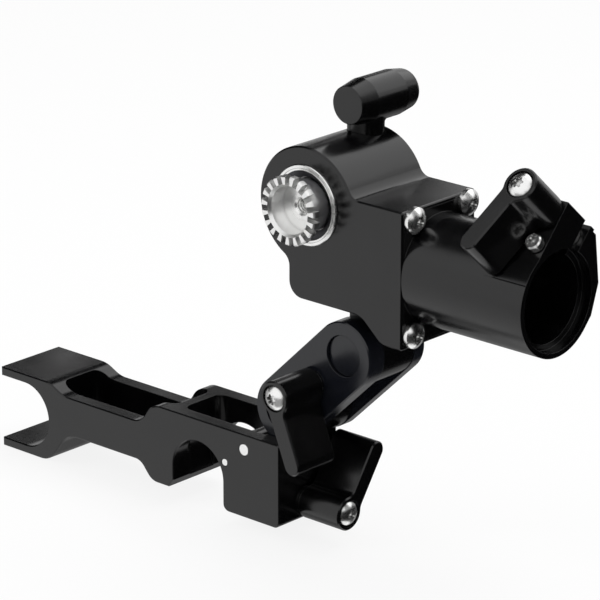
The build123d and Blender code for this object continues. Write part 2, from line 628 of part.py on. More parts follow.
def make_link_pin(x, z):
    """A pivot pin through both plates, its flat head sunk in the front plate."""
    length = LINK_BACK - FRONT_PLATE_Y - 2 * PIN_RECESS
    head = PIN_RECESS_RADIUS - SEAT
    return turned([
        (0, 0), (head - PIN_EDGE, 0), (head, PIN_EDGE), (head, PIN_HEAD), (LINK_PIN_RADIUS, PIN_HEAD),
        (LINK_PIN_RADIUS, length - PIN_EDGE), (LINK_PIN_RADIUS - PIN_EDGE, length), (0, length),
    ], y_plane(x, z, FRONT_PLATE_Y + PIN_RECESS))


# ---- housing ---------------------------------------------------------------------------------
def housing_outline(inset=0.0):
    """The gear housing seen from the front: a drum over a body with a tongue at the lower right."""
    slope_left = HOUSING_RIGHT - TONGUE_WIDTH - TONGUE_SLOPE
    lean = tan(atan2(HOUSING_BOTTOM - TONGUE_BOTTOM, TONGUE_SLOPE) / 2)
    body = outline(
        (HOUSING_LEFT + inset, DRUM_Z),
        (HOUSING_LEFT + inset, HOUSING_BOTTOM + inset, HOUSING_CORNER - inset),
        (slope_left + inset * lean, HOUSING_BOTTOM + inset, TONGUE_BEND),
        (HOUSING_RIGHT - TONGUE_WIDTH + inset * lean, TONGUE_BOTTOM + inset, TONGUE_FOOT_BEND),
        (HOUSING_RIGHT - inset, TONGUE_BOTTOM + inset, SQUARE_EDGE),
        (HOUSING_RIGHT - inset, HOUSING_TOP - inset, SQUARE_EDGE),
        (DRUM_X, HOUSING_TOP - inset),
        (DRUM_X, DRUM_Z),
    )
    drum = DRUM_RADIUS - inset
    face = body + Pos(DRUM_X, DRUM_Z) * Circle(drum)
    side = HOUSING_LEFT + inset - DRUM_X
    top = HOUSING_TOP - inset - DRUM_Z
    left_corner = (DRUM_X + side, DRUM_Z - sqrt(drum ** 2 - side ** 2), 0)
    right_corner = (DRUM_X + sqrt(drum ** 2 - top ** 2), DRUM_Z + top, 0)
    corners = [face.vertices().sort_by_distance(point)[0] for point in (left_corner, right_corner)]
    return fillet(corners, DRUM_FILLET)


def cavity_outline():
    """The gear space inside the housing."""
    left = HOUSING_LEFT + SIDE_WALL
    bottom = HOUSING_BOTTOM + SIDE_WALL
    top = HOUSING_TOP - SIDE_WALL
    corners = ((left, bottom), (CAVITY_RIGHT, bottom), (CAVITY_RIGHT, top), (left, top))
    body = outline(*[corner + (CAVITY_CORNER,) for corner in corners])
    return body + Pos(DRUM_X, DRUM_Z) * Circle(DRUM_RADIUS - DRUM_WALL)


def cover_screw_points():
    """Where the rear cover's screws stand, in X and Z."""
    left = HOUSING_LEFT + COVER_SCREW_INSET
    right = COVER_RIGHT - COVER_SCREW_INSET
    low = HOUSING_BOTTOM + COVER_SCREW_INSET
    high = HOUSING_TOP - COVER_SCREW_INSET
    reach = DRUM_RADIUS - COVER_SCREW_INSET
    angle = radians(COVER_SCREW_ANGLE)
    on_drum = (DRUM_X + reach * cos(angle), DRUM_Z + reach * sin(angle))
    return [(left, low), (right, low), (right, high), on_drum]


def cover_outline(inset):
    """The rear cover: the housing's outline, set in and ending short of the tube's flange."""
    keep = outline(
        (0, 0), (COVER_RIGHT + COVER_RIM - inset, 0), (COVER_RIGHT + COVER_RIM - inset, 2 * HOUSING_TOP),
        (0, 2 * HOUSING_TOP),
    )
    return housing_outline(inset) & keep


def flange_outline(grow=0.0):
    """The tube flange seen along the tube."""
    width = HOUSING_DEPTH - 2 * FLANGE_RIM + 2 * grow
    height = HOUSING_TOP - TONGUE_BOTTOM - 2 * FLANGE_RIM + 2 * grow
    middle = Pos(HOUSING_FRONT + HOUSING_DEPTH / 2, (HOUSING_TOP + TONGUE_BOTTOM) / 2)
    return middle * RectangleRounded(width, height, FLANGE_CORNER)


def flange_screw_points():
    """Where the flange screws stand, in Y and Z."""
    return [
        (TUBE_Y + side * FLANGE_SCREW_Y, TUBE_Z + up * FLANGE_SCREW_Z) for side in (-1, 1) for up in (-1, 1)
    ]


def make_housing():
    """The gear housing, milled from one block and open at the back and at the flange."""
    body = along_y(housing_outline(), HOUSING_FRONT, HOUSING_BACK)
    body = chamfer(body.faces().sort_by(Axis.Y)[0].edges(), HOUSING_EDGE)
    body = chamfer(body.faces().sort_by(Axis.Y)[-1].edges(), HOUSING_EDGE)
    body -= along_y(cavity_outline(), CAVITY_FRONT, HOUSING_BACK + 1)
    boss_front = COVER_FRONT - COVER_SCREW_LENGTH - 1
    for x, z in cover_screw_points():
        boss = bar_y(COVER_BOSS_RADIUS, x, z, boss_front, COVER_FRONT)
        body += boss & along_y(housing_outline(COVER_RIM), boss_front, COVER_FRONT)
    body -= along_y(cover_outline(COVER_RIM - COVER_GAP), COVER_FRONT, HOUSING_BACK + 1)
    lug_top = HOUSING_BOTTOM + SIDE_WALL
    lug = Pos(UPPER_PIVOT_X, UPPER_PIVOT_Z) * Circle(LUG_RADIUS)
    lug += outline(
        (UPPER_PIVOT_X - LUG_NEAR, UPPER_PIVOT_Z), (UPPER_PIVOT_X + LUG_RADIUS, UPPER_PIVOT_Z),
        (UPPER_PIVOT_X + LUG_RADIUS, lug_top), (UPPER_PIVOT_X - LUG_NEAR, lug_top),
    )
    body += along_y(lug, LUG_FRONT, LUG_BACK)
    body -= bar_y(LINK_PIN_RADIUS + RUN, UPPER_PIVOT_X, UPPER_PIVOT_Z, LUG_FRONT - 1, LUG_BACK + 1)
    # front bearing seat with its ring thread, and the layshaft's front bush
    body -= bar_y(RING_RADIUS + SEAT, OUTPUT_X, OUTPUT_Z, HOUSING_FRONT - 1, BEARING_FRONT)
    body -= bar_y(BEARING_RADIUS + SEAT, OUTPUT_X, OUTPUT_Z, HOUSING_FRONT, BEARING_BACK)
    body -= bar_y(BEARING_RADIUS - BEARING_LIP, OUTPUT_X, OUTPUT_Z, HOUSING_FRONT, CAVITY_FRONT + 1)
    bush = LAYSHAFT_RADIUS + BUSH_WALL + SEAT
    body -= bar_y(bush, LAYSHAFT_X, TUBE_Z, CAVITY_FRONT - BUSH_LENGTH, CAVITY_FRONT + 1)
    # flange recess, input bearing seat and shaft hole
    body -= along_x(flange_outline(COVER_GAP), FLANGE_LEFT, HOUSING_RIGHT + 1)
    body -= bar_x(INPUT_BEARING_RADIUS + SEAT, TUBE_Y, TUBE_Z, INPUT_BEARING_LEFT, HOUSING_RIGHT)
    body -= bar_x(INPUT_BEARING_RADIUS - BEARING_LIP, TUBE_Y, TUBE_Z, CAVITY_RIGHT - 1, HOUSING_RIGHT)
    hole_end = HOUSING_RIGHT - FLANGE_SCREW_LENGTH - FACE_GAP
    for y, z in flange_screw_points():
        body -= bar_x(SCREW_RADIUS + SEAT, y, z, hole_end, HOUSING_RIGHT)
    for x, z in cover_screw_points():
        body -= bar_y(COVER_SCREW_RADIUS + SEAT, x, z, COVER_FRONT - COVER_SCREW_LENGTH, HOUSING_BACK)
    body -= Pos(DRUM_X, STEM_Y, DRUM_TOP) * Cylinder(HANDLE_BUSH_RADIUS + SEAT, 2 * DRUM_WALL + 1)
    body -= Pos(DRUM_X, STEM_Y, STEM_FLOOR + DRUM_RADIUS / 2) * Cylinder(STEM_POCKET, DRUM_RADIUS)
    return body


def make_rear_cover():
    """The rear cover, let into the back of the housing, with seats for both rear bushes."""
    body = along_y(cover_outline(COVER_RIM), COVER_FRONT, HOUSING_BACK)
    body = chamfer(body.faces().sort_by(Axis.Y)[-1].edges(), HOUSING_EDGE)
    for radius, x, z in ((OUTPUT_REAR_RADIUS, OUTPUT_X, OUTPUT_Z), (LAYSHAFT_RADIUS, LAYSHAFT_X, TUBE_Z)):
        body -= bar_y(radius + BUSH_WALL + SEAT, x, z, COVER_FRONT - 1, COVER_FRONT + BUSH_LENGTH - FACE_GAP)
    for x, z in cover_screw_points():
        body -= bar_y(COVER_SCREW_RADIUS + SEAT, x, z, COVER_FRONT - 1, HOUSING_BACK + 1)
        body -= bar_y(COVER_SCREW_HEAD + FACE_GAP, x, z, HOUSING_BACK - COVER_THICKNESS / 2, HOUSING_BACK + 1)
    return body


def make_cover_screws():
    """The four small screws that hold the rear cover, heads sunk in it."""
    dome = COVER_THICKNESS / 2 - FACE_GAP
    planes = [y_plane(x, z, HOUSING_BACK - COVER_THICKNESS / 2) for x, z in cover_screw_points()]
    return Compound([
        button_screw(plane, COVER_SCREW_HEAD, 0, dome, COVER_SCREW_RADIUS, COVER_SCREW_LENGTH - 1)
        for plane in planes
    ])


# ---- tube ------------------------------------------------------------------------------------
def make_clamp_tube():
    """The hand-wheel tube, one piece with its flange and its clamp ears."""
    body = along_x(flange_outline(), FLANGE_LEFT, HOUSING_RIGHT)
    body += bar_x(TUBE_RADIUS, TUBE_Y, TUBE_Z, HOUSING_RIGHT, TUBE_MOUTH)
    frame = clamp_frame()
    left = TUBE_MOUTH - CLAMP_WIDTH
    ears = block((left, EAR_FACE, EAR_FLAT_END), (TUBE_MOUTH, 0, EAR_TOP))
    rear_top = EAR_TOP - EAR_STEP
    shoulder = (TUBE_RADIUS + EAR_SHOULDER) / sqrt(2)
    ears += along_x(make_face(Polyline(
        (0, 0), (0, rear_top), (EAR_CREST, rear_top), (shoulder, shoulder), (TUBE_RADIUS, EAR_FOOT),
        (TUBE_RADIUS, 0), close=True)), left, TUBE_MOUTH)
    body += frame.location * ears
    body -= bar_x(TUBE_BORE, TUBE_Y, TUBE_Z, TUBE_SHOULDER, TUBE_MOUTH + 1)
    coupling_room = COUPLING_RADIUS + COUPLING_GAP
    body -= bar_x(coupling_room, TUBE_Y, TUBE_Z, HOUSING_RIGHT + TUBE_FLOOR, TUBE_SHOULDER + 1)
    body -= bar_x(MOUTH_RADIUS, TUBE_Y, TUBE_Z, TUBE_MOUTH - MOUTH_DEPTH, TUBE_MOUTH + 1)
    slot = block((left - SLOT_EXTRA, SLOT_NEAR, TUBE_BORE / 2), (TUBE_MOUTH + 1, SLOT_FAR, EAR_TOP + 1))
    body -= frame.location * slot
    body -= tube_lever_plane() * Cylinder(STUD_RADIUS + RUN, 4 * EAR_TOP)
    body -= stop_screw_plane() * Cylinder(STOP_SCREW_SHANK + SEAT, 2 * STOP_SCREW_RISE)
    body -= bar_x(INPUT_RADIUS + 1, TUBE_Y, TUBE_Z, FLANGE_LEFT - 1, HOUSING_RIGHT + TUBE_FLOOR + 1)
    for y, z in flange_screw_points():
        body -= bar_x(SCREW_RADIUS + SEAT, y, z, FLANGE_LEFT - 1, HOUSING_RIGHT + 1)
    return body


def make_flange_screws():
    """The four bright screws that hold the tube's flange in the housing."""
    return Compound([
        button_screw(x_plane(y, z, HOUSING_RIGHT), rim=FLANGE_SCREW_RIM, length=FLANGE_SCREW_LENGTH)
        for y, z in flange_screw_points()
    ])


def stop_screw_plane():
    """Where the stop screw's head stands on the clamp's flat."""
    seat = Plane(
        origin=(TUBE_MOUTH - STOP_SCREW_INSET, EAR_FACE, STOP_SCREW_HEIGHT), x_dir=(1, 0, 0), z_dir=(0, -1, 0)
    )
    return nested(clamp_frame(), seat)


def make_stop_screw():
    """The small bright screw on the clamp's flat, which stops the lever's paddle."""
    plane = stop_screw_plane()
    body = ring(STOP_SCREW_HEAD, 0, STOP_SCREW_RISE, plane, edge=STOP_SCREW_EDGE)
    body += plane * Pos(0, 0, -STOP_SCREW_RISE / 2 + FACE_GAP) * Cylinder(STOP_SCREW_SHANK, STOP_SCREW_RISE)
    body -= plane * Pos(0, 0, STOP_SCREW_RISE) * star_recess(STAR_DEPTH)
    return body


# ---- gear train ------------------------------------------------------------------------------
def toothed_face(teeth, root, tip, pitch_radius, first):
    """A gear's face: straight-flanked teeth, the first one centred on the angle given."""
    step = 360 / teeth
    half_pitch = step * TOOTH_SHARE / 2
    half_tip = half_pitch * TIP_SHARE
    half_root = half_pitch + (half_pitch - half_tip) * (pitch_radius - root) / (tip - pitch_radius)
    points = []
    for tooth in range(teeth):
        middle = first + tooth * step
        for radius, offset in ((root, -half_root), (tip, -half_tip), (tip, half_tip), (root, half_root)):
            angle = radians(middle + offset)
            points.append((radius * cos(angle), radius * sin(angle)))
    return make_face(Polyline(*points, close=True))


def make_spur(x, z, first, bore):
    """A spur gear on a shaft along Y."""
    radius = SPUR_DISTANCE / 2
    face = toothed_face(SPUR_TEETH, radius - 1.25 * SPUR_MODULE, radius + SPUR_MODULE, radius, first)
    return along_y(Pos(x, z) * (face - Circle(bore + SEAT)), SPUR_FRONT, SPUR_BACK)


def make_bevel(plane, first, bore, hub):
    """A mitre gear on the plane, its teeth running in along the normal towards the shared apex."""
    cone = BEVEL_RADIUS * sqrt(2)
    tip = BEVEL_RADIUS * tan(pi / 4 + atan(BEVEL_ADDENDUM / cone))
    root = BEVEL_RADIUS * tan(pi / 4 - atan(BEVEL_DEDENDUM / cone))
    small = 1 - BEVEL_FACE / BEVEL_RADIUS
    big_face = toothed_face(BEVEL_TEETH, root, tip, BEVEL_RADIUS, first)
    small_face = toothed_face(BEVEL_TEETH, root * small, tip * small, BEVEL_RADIUS * small, first)
    body = loft([big_face, Pos(0, 0, BEVEL_FACE) * small_face], ruled=True)
    body += Pos(0, 0, -hub / 2) * Cylinder(bore + BUSH_WALL, hub)
    body -= Cylinder(bore + SEAT, 8 * BEVEL_RADIUS)
    return plane * body


def shielded_bearing(outer, inner, width, plane):
    """A shielded ball bearing, with a shallow groove between its races on both sides."""
    low = inner + (outer - inner) * RACE_SHARE
    high = outer - (outer - inner) * RACE_SHARE
    return turned([
        (inner, 0), (low, 0), (low, BEARING_GROOVE), (high, BEARING_GROOVE), (high, 0), (outer, 0),
        (outer, width), (high, width), (high, width - BEARING_GROOVE), (low, width - BEARING_GROOVE),
        (low, width), (inner, width),
    ], plane)


def output_plane(y):
    """A plane across the output axis that faces +Y."""
    return y_plane(OUTPUT_X, OUTPUT_Z, y)


def make_retaining_ring():
    """The bright ring nut that holds the output bearing, with a fine groove round its face."""
    low, high = RING_GROOVE
    return turned([
        (RING_BORE, RING_LIP), (low, RING_LIP), (low, RING_GROOVE_DEPTH), (high, RING_GROOVE_DEPTH),
        (high, 0), (RING_RADIUS - RING_EDGE, 0), (RING_RADIUS, RING_EDGE), (RING_RADIUS, RING_THICKNESS),
        (RING_BORE, RING_THICKNESS),
    ], output_plane(RING_FRONT))


def make_dust_shield():
    """The dished shield in the ring nut, with the crown's hub running clear of its bore."""
    rim = RING_BORE - SEAT
    bore = CROWN_TOOTH_ROOT + SHIELD_GAP
    return turned([
        (rim, SHIELD_RIM), (rim, RING_THICKNESS), (bore, RING_THICKNESS),
        (bore, RING_THICKNESS - SHIELD_WALL),
    ], output_plane(RING_FRONT))


def make_output_shaft():
    """The stepped output shaft, with the drive gear's thread in its front end."""
    front = CROWN_FACE + CROWN_CUP_DEPTH
    step = BRAKE_DRUM_FRONT
    rear = COVER_FRONT + BUSH_LENGTH - 2 * FACE_GAP
    body = bar_y(SPIGOT_RADIUS, OUTPUT_X, OUTPUT_Z, front, CROWN_BACK)
    body += bar_y(OUTPUT_RADIUS, OUTPUT_X, OUTPUT_Z, CROWN_BACK, step)
    body += bar_y(OUTPUT_REAR_RADIUS, OUTPUT_X, OUTPUT_Z, step, rear)
    body -= bar_y(THREAD_RADIUS, OUTPUT_X, OUTPUT_Z, front - 1, front + THREAD_DEPTH)
    mouth = THREAD_RADIUS + THREAD_MOUTH
    cone = [(0, 0), (mouth, 0), (THREAD_RADIUS, THREAD_MOUTH), (0, THREAD_MOUTH)]
    body -= turned(cone, output_plane(front))
    return body


def make_crown():
    """The output crown: dog teeth round a cup with a bevelled rim, on a hub as wide as their roots."""
    depth = CROWN_BACK - CROWN_FACE
    body = turned([
        (SPIGOT_RADIUS + SEAT, CROWN_CUP_DEPTH), (CROWN_CUP_RADIUS, CROWN_CUP_DEPTH),
        (CROWN_CUP_RADIUS, CROWN_CUP_BEVEL_DEPTH), (CROWN_CUP_RADIUS + CROWN_CUP_BEVEL, 0),
        (CROWN_RADIUS - CROWN_BEVEL, 0), (CROWN_RADIUS, CROWN_BEVEL),
        (CROWN_RADIUS, CROWN_THICKNESS - CROWN_BEVEL), (CROWN_RADIUS - CROWN_BEVEL, CROWN_THICKNESS),
        (CROWN_TOOTH_ROOT, CROWN_THICKNESS),
        (CROWN_TOOTH_ROOT, depth), (SPIGOT_RADIUS + SEAT, depth),
    ], output_plane(CROWN_FACE))
    length = CROWN_RADIUS - CROWN_TOOTH_ROOT + 1
    for tooth in range(CROWN_TEETH):
        notch = Rot(0, 0, tooth * 360 / CROWN_TEETH) * Pos(CROWN_TOOTH_ROOT + length / 2, 0, 0)
        body -= output_plane(CROWN_FACE) * notch * Box(length, CROWN_NOTCH, 2 * (CROWN_THICKNESS + 1))
    return body


def make_output_gear(first):
    """The output gear and, in front of it, the smooth rim that the brake shoe presses."""
    width = SPUR_FRONT - BRAKE_DRUM_FRONT
    rim = ring(BRAKE_DRUM_RADIUS, OUTPUT_REAR_RADIUS + SEAT, width, output_plane(BRAKE_DRUM_FRONT))
    return rim + make_spur(OUTPUT_X, OUTPUT_Z, first, OUTPUT_REAR_RADIUS)


def make_input_coupling():
    """The slotted hub inside the tube that the hand wheel's spindle drives."""
    plane = x_plane(TUBE_Y, TUBE_Z, COUPLING_LEFT)
    body = ring(COUPLING_RADIUS, INPUT_RADIUS + SEAT, COUPLING_LENGTH, plane, COUPLING_EDGE)
    front = COUPLING_LEFT + COUPLING_LENGTH
    body -= block(
        (front - COUPLING_SLOT_DEPTH, TUBE_Y - COUPLING_SLOT / 2, TUBE_Z - 2 * COUPLING_RADIUS),
        (front + 1, TUBE_Y + COUPLING_SLOT / 2, TUBE_Z + 2 * COUPLING_RADIUS),
    )
    return body


# ---- T-handle --------------------------------------------------------------------------------
def make_t_handle():
    """The T-handle: a barrel across a round stem, blended where they meet."""
    nose_edge = HANDLE_NOSE_RADIUS - HANDLE_EDGE
    body = turned([
        (0, 0), (nose_edge, 0), (HANDLE_NOSE_RADIUS, HANDLE_EDGE), (HANDLE_RADIUS, HANDLE_NOSE_LENGTH),
        (HANDLE_RADIUS, HANDLE_NOSE_LENGTH + HANDLE_BODY_LENGTH),
        (HANDLE_TAIL_RADIUS, HANDLE_LENGTH, HANDLE_TAIL_ROUND), (0, HANDLE_LENGTH),
    ], y_plane(DRUM_X, HANDLE_Z, HANDLE_FRONT))
    height = HANDLE_Z - STEM_FOOT
    body += Pos(DRUM_X, STEM_Y, STEM_FOOT + height / 2) * Cylinder(STEM_RADIUS, height)
    body = fillet(body.edges().filter_by(is_stem_joint), STEM_FILLET)
    socket = Pos(DRUM_X, STEM_Y, STEM_FOOT + HANDLE_SHAFT_SOCKET / 2 - 1)
    body -= socket * Cylinder(HANDLE_SHAFT_RADIUS + SEAT, HANDLE_SHAFT_SOCKET + 2)
    return body


def is_stem_joint(edge):
    """Whether an edge lies where the stem enters the round body of the barrel, behind its nose."""
    middle = edge @ 0.5
    from_axis = sqrt((middle.X - DRUM_X) ** 2 + (middle.Y - STEM_Y) ** 2)
    on_stem = abs(from_axis - STEM_RADIUS) < SEAT
    behind_nose = middle.Y > HANDLE_FRONT + HANDLE_NOSE_LENGTH
    return on_stem and behind_nose and middle.Z > HANDLE_Z - HANDLE_RADIUS - SEAT


def handle_shaft_span():
    """The lower and upper end of the T-handle's shaft."""
    return BRAKE_TOP + BRAKE_GAP + SHOE_THICKNESS + SEAT, STEM_FOOT + HANDLE_SHAFT_SOCKET


def make_upright(radius, bore, low, high):
    """A pin or bush on the T-handle's axis."""
    plane = Plane((DRUM_X, STEM_Y, low))
    return ring(radius, bore, high - low, plane)


# ---- the pieces ------------------------------------------------------------------------------
def bridge_pieces():
    """The bridge, its pins and jaw, and the rod lever."""
    pieces = {
        "bridge": make_bridge(),
        "jaw_pivot_pin": make_bridge_pin(JAW_PIN_RADIUS, JAW_PIVOT_X, JAW_PIVOT_Z),
        "jaw_stop_pin": make_bridge_pin(STOP_PIN_RADIUS, STOP_PIN_X, STOP_PIN_Z),
        "rod_jaw": make_jaw(),
    }
    plane = rod_lever_plane()
    reach = plane.origin.X - JAW_POCKET_END + FREE_GAP - SEAT
    return pieces | lever_set("rod", plane, reach)


def link_pieces():
    """Both plates of the link, its pivot pins and its lever."""
    pieces = {
        "link_front_plate": make_link_plate(FRONT_PLATE_Y, FRONT_PLATE, True, RUN),
        "link_rear_plate": make_link_plate(REAR_PLATE_Y, REAR_PLATE, False, RUN),
        "link_lower_pin": make_link_pin(LOWER_PIVOT_X, LOWER_PIVOT_Z),
        "link_upper_pin": make_link_pin(UPPER_PIVOT_X, UPPER_PIVOT_Z),
    }
    plane = link_lever_plane()
    reach = LINK_BACK - PIN_RECESS - plane.origin.Y
    return pieces | lever_set("link", plane, reach)


def housing_pieces():
    """The housing with its cover, ring, bearings and bushes."""
    layshaft_bush = LAYSHAFT_RADIUS + BUSH_WALL
    output_bush = OUTPUT_REAR_RADIUS + BUSH_WALL
    bush_length = BUSH_LENGTH - 2 * FACE_GAP
    shaft_low, shaft_high = handle_shaft_span()
    shoe = make_upright(HANDLE_SHAFT_RADIUS, 0, BRAKE_TOP + BRAKE_GAP, shaft_low - SEAT)
    return {
        "housing": make_housing(),
        "rear_cover": make_rear_cover(),
        "rear_cover_screws": make_cover_screws(),
        "retaining_ring": make_retaining_ring(),
        "dust_shield": make_dust_shield(),
        "output_bearing": shielded_bearing(
            BEARING_RADIUS, OUTPUT_RADIUS + RUN, BEARING_WIDTH, output_plane(BEARING_FRONT)
        ),
        "output_rear_bush": ring(
            output_bush, OUTPUT_REAR_RADIUS + RUN, bush_length, output_plane(COVER_FRONT)
        ),
        "layshaft_front_bush": ring(
            layshaft_bush, LAYSHAFT_RADIUS + RUN, bush_length,
            y_plane(LAYSHAFT_X, TUBE_Z, CAVITY_FRONT - bush_length),
        ),
        "layshaft_rear_bush": ring(
            layshaft_bush, LAYSHAFT_RADIUS + RUN, bush_length, y_plane(LAYSHAFT_X, TUBE_Z, COVER_FRONT)
        ),
        "input_bearing": shielded_bearing(
            INPUT_BEARING_RADIUS, INPUT_RADIUS + RUN, INPUT_BEARING_WIDTH,
            x_plane(TUBE_Y, TUBE_Z, INPUT_BEARING_LEFT),
        ),
        "handle_bush": make_upright(
            HANDLE_BUSH_RADIUS, HANDLE_SHAFT_RADIUS + RUN, DRUM_TOP - DRUM_WALL, STEM_FLOOR - FACE_GAP,
        ),
        "brake_shoe": shoe,
        "clamp_tube": make_clamp_tube(),
        "tube_flange_screws": make_flange_screws(),
        "tube_stop_screw": make_stop_screw(),
    }


def gear_pieces():
    """The input, layshaft and output shafts with their gears."""
    mesh = degrees(atan2(TUBE_Z - OUTPUT_Z, LAYSHAFT_X - OUTPUT_X))
    half_step = 180 / SPUR_TEETH
    bevel_back = TUBE_Y - BEVEL_RADIUS
    layshaft_plane = Plane(origin=(LAYSHAFT_X, bevel_back, TUBE_Z), x_dir=(1, 0, 0), z_dir=(0, 1, 0))
    input_back = LAYSHAFT_X + BEVEL_RADIUS
    input_plane = Plane(origin=(input_back, TUBE_Y, TUBE_Z), x_dir=(0, -1, 0), z_dir=(-1, 0, 0))
    input_end = COUPLING_LEFT + COUPLING_LENGTH - COUPLING_SLOT_DEPTH
    hub = bevel_back - CAVITY_FRONT - FACE_GAP
    return {
        "output_crown": make_crown(),
        "output_shaft": make_output_shaft(),
        "output_gear": make_output_gear(mesh),
        "layshaft": bar_y(
            LAYSHAFT_RADIUS, LAYSHAFT_X, TUBE_Z, CAVITY_FRONT - BUSH_LENGTH + 3 * FACE_GAP,
            COVER_FRONT + BUSH_LENGTH - 3 * FACE_GAP,
        ),
        "layshaft_gear": make_spur(LAYSHAFT_X, TUBE_Z, mesh + 180 + half_step, LAYSHAFT_RADIUS),
        "layshaft_bevel": make_bevel(layshaft_plane, 0, LAYSHAFT_RADIUS, hub),
        "input_shaft": bar_x(INPUT_RADIUS, TUBE_Y, TUBE_Z, input_back - BEVEL_FACE, input_end),
        "input_bevel": make_bevel(
            input_plane, 180 / BEVEL_TEETH, INPUT_RADIUS, INPUT_BEARING_LEFT - input_back - FACE_GAP
        ),
        "input_coupling": make_input_coupling(),
    }


def tube_lever_pieces():
    """The lever that closes the tube's clamp."""
    plane = tube_lever_plane()
    reach = CLAMP_STUD_END - EAR_FACE + FACE_GAP + WASHER_THICKNESS
    return lever_set("tube", plane, reach)


def handle_pieces():
    """The T-handle and its shaft."""
    low, high = handle_shaft_span()
    return {
        "t_handle": make_t_handle(),
        "t_handle_shaft": make_upright(HANDLE_SHAFT_RADIUS, 0, low, high),
    }


def main():
    """Build every piece and write one file for each."""
    os.makedirs("parts", exist_ok=True)
    pieces = bridge_pieces() | link_pieces() | housing_pieces() | gear_pieces()
    pieces |= tube_lever_pieces() | handle_pieces()
    for name, shape in pieces.items():
        export_step(shape, os.path.join("parts", name + ".step"))
    print(len(pieces), "pieces")


main()
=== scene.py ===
import math

import bpy
import numpy as np
from mathutils import Matrix, Vector


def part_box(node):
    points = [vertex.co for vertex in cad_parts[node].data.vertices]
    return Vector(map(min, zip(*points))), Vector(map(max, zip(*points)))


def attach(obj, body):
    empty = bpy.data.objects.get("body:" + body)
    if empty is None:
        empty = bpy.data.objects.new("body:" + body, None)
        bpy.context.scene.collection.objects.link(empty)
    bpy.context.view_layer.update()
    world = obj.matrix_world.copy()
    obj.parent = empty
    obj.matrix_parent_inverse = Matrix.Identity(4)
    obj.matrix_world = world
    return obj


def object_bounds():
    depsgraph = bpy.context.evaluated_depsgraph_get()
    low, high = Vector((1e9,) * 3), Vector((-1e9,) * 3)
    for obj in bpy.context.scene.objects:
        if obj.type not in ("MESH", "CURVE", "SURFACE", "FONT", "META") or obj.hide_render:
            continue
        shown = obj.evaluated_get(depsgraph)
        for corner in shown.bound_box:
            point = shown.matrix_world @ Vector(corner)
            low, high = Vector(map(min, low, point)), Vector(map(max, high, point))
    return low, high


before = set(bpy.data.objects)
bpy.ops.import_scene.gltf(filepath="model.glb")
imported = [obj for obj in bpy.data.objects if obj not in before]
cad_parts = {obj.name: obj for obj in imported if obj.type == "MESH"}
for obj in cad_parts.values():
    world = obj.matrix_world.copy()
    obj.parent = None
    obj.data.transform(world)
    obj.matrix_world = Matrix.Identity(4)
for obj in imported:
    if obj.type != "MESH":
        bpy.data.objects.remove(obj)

bl_info = {
    "name": "Follow Focus Unit",
    "version": (1, 0, 0),
    "blender": (4, 5, 0),
    "location": "View3D > Sidebar > Follow Focus",
    "description": "Finishes, drive thread and studio for a follow focus unit on paired rods",
    "category": "Object",
}

MM = 0.001
CAD_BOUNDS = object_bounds()
OUTPUT_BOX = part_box("output_shaft")
OUTPUT_X = (OUTPUT_BOX[0][0] + OUTPUT_BOX[1][0]) / 2
OUTPUT_Z = (OUTPUT_BOX[0][2] + OUTPUT_BOX[1][2]) / 2

# Share of a metal's brightness that is left in the painted shade of recesses, and under a stain.
PAINTED_SHADE_SHARE = 0.12
STAIN_SHADE = 0.55
# The tube's clamp leans back by this much.
CLAMP_TILT = math.radians(42.0)
NO_TURN = (0.0, 0.0, 0.0)

# The threaded sleeve starts just inside the shaft's front end. Its least wall is at the thread's
# roots, and its grid has so many points round the axis and along each turn.
THREAD_START = 0.4 * MM
THREAD_LENGTH = 8.4 * MM
SLEEVE_WALL = 0.02 * MM
POINTS_ROUND = 96
POINTS_PER_TURN = 12

# Where the camera looks, in metres, and how it stands to that point: turn from straight in front,
# height above level and distance in metres. Lens and sensor are in millimetres.
AIM = (0.0304, -0.0092, 0.0474)
CAMERA_TURN = math.radians(42.293)
CAMERA_RISE = math.radians(19.044)
CAMERA_DISTANCE = 0.7816
CAMERA_LENS = 222.84
CAMERA_SENSOR = 36.0

WHITE = (1.0, 1.0, 1.0, 1.0)
# Strength of the white room as a light. To the eye and in gloss it is 1.
ROOM_LIGHT = 0.45
# Half a side of the floor, and the share of its brightness that is plain white to the eye and in
# gloss. The rest takes the shadow.
FLOOR_REACH = 2.0
FLOOR_GLOW = 0.87
# Lamps: name, place and size in metres, and the setting that holds the power.
LAMPS = (
    ("top lamp", (0.05, 0.25, 0.65), 0.6, "top_power"),
    ("front left lamp", (-0.45, -0.5, 0.45), 0.5, "front_power"),
)
# The cards' distance from where the camera looks, and the points along each side of a card.
CARD_RADIUS = 0.6
CARD_POINTS = 25
# Cards round the unit: name, turns and rises in degrees, strength. The studio is dark behind on the
# right and above on the left, with a tall soft box at the front left and a broad one behind above.
CARDS = (
    ("soft box, front left", (-64, -28), (-62, 22), 0.95),
    ("soft box, behind above", (124, 214), (26, 78), 1.5),
    ("black flag, above left", (-144, -56), (6, 62), 0.0),
    ("grey wall, behind left", (-200, -112), (-6, 25), 0.68),
    ("grey wall, low left", (-120, -65), (-58, 6), 0.35),
    ("black flag, right", (40, 172), (-54, 14), 0.01),
    ("grey wall, right", (80, 126), (13, 55), 0.3),
    ("grey wall, front", (-28, 40), (-62, -4), 0.3),
    ("black flag, low behind", (172, 240), (-28, -4), 0.05),
    ("grey wall, low behind", (172, 240), (-62, -28), 0.3),
)


# ---- small helpers ---------------------------------------------------------------------------
def linear(hex_colour):
    """Turn an sRGB hex colour into linear RGBA."""
    values = [int(hex_colour[i:i + 2], 16) / 255 for i in (1, 3, 5)]
    return [v / 12.92 if v <= 0.04045 else ((v + 0.055) / 1.055) ** 2.4 for v in values] + [1.0]


